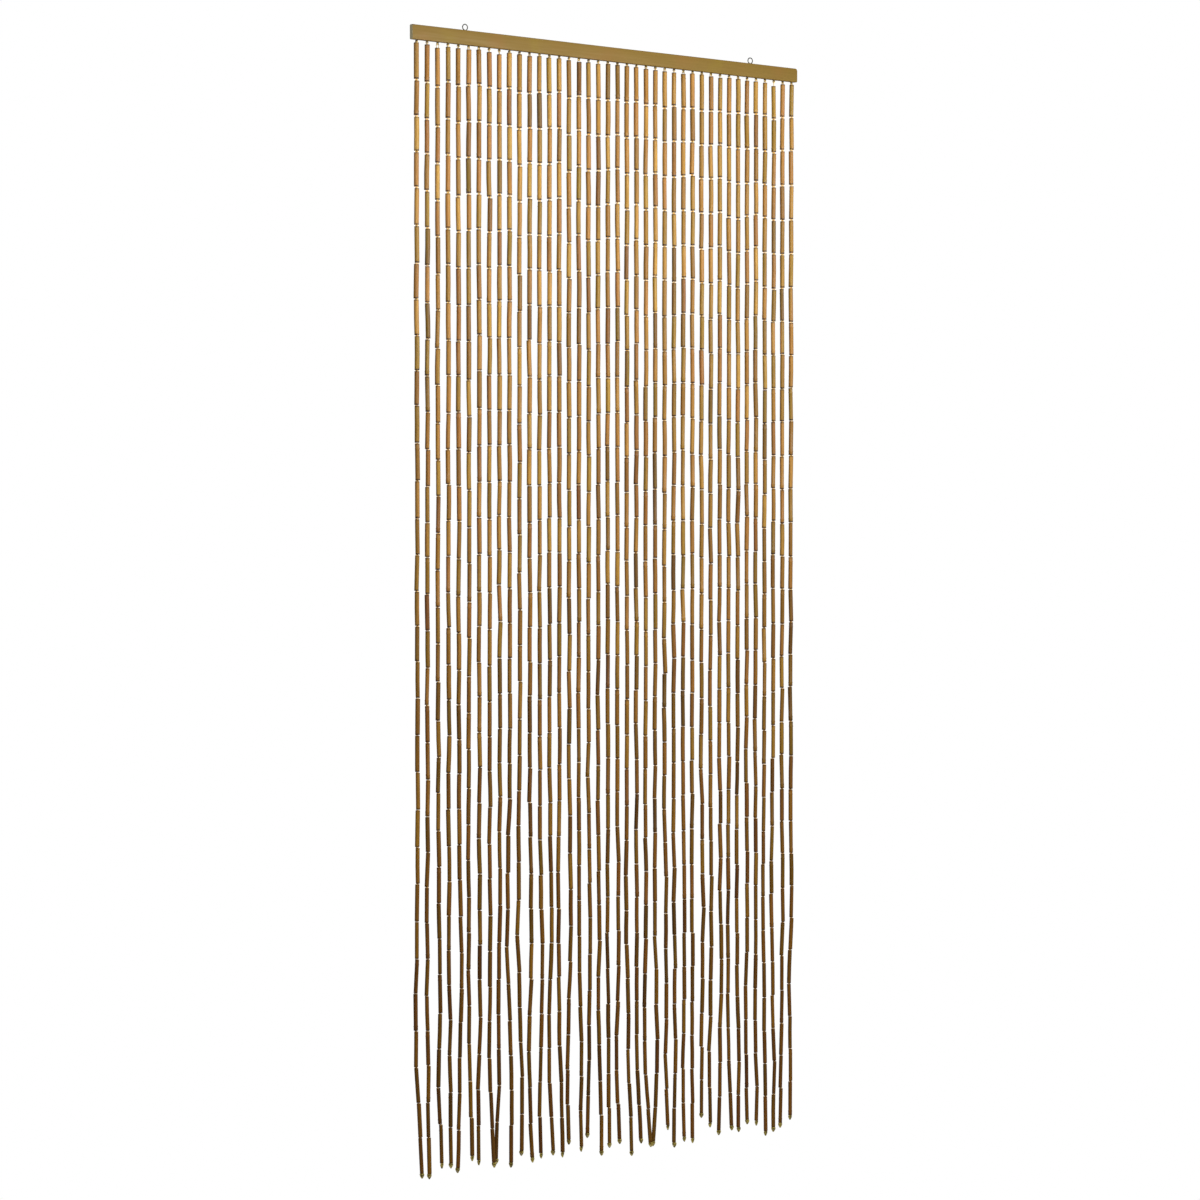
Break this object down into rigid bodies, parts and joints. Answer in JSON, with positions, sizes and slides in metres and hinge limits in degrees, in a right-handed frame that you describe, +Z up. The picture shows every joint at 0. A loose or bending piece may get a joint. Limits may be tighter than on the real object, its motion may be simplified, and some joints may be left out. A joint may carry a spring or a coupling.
{
  "type": "bamboo door curtain on a hanging rail",
  "caption": "Bamboo door curtain: strands of short tubes linked with wire, hung in a row under a slim wooden rail that has a screw eye near each end.",
  "frame": {"origin": "midway between the centres of the two hanger eyes, above the rail", "axes": "+X along the rail to the right seen from the front, +Y back towards the wall or lintel, +Z up along the strands"},
  "size_m": [0.9, 0.0116, 2.0176],
  "materials": {
    "rail_wood": "stained ochre-brown softwood slat, satin",
    "bamboo": "stained and lightly varnished thin bamboo tubes, tan to dark brown",
    "eye_steel": "plain zinc-plated wire screw eyes, slightly dull",
    "link_wire": "brass-coated thin steel wire of the links, eyes and end hooks"
  },
  "bodies": {
    "root": {"rail": "rail_wood", "hanger_eye_left": "eye_steel", "hanger_eye_right": "eye_steel", "strands_left": "bamboo", "strands_right": "bamboo"}
  },
  "joints": []
}
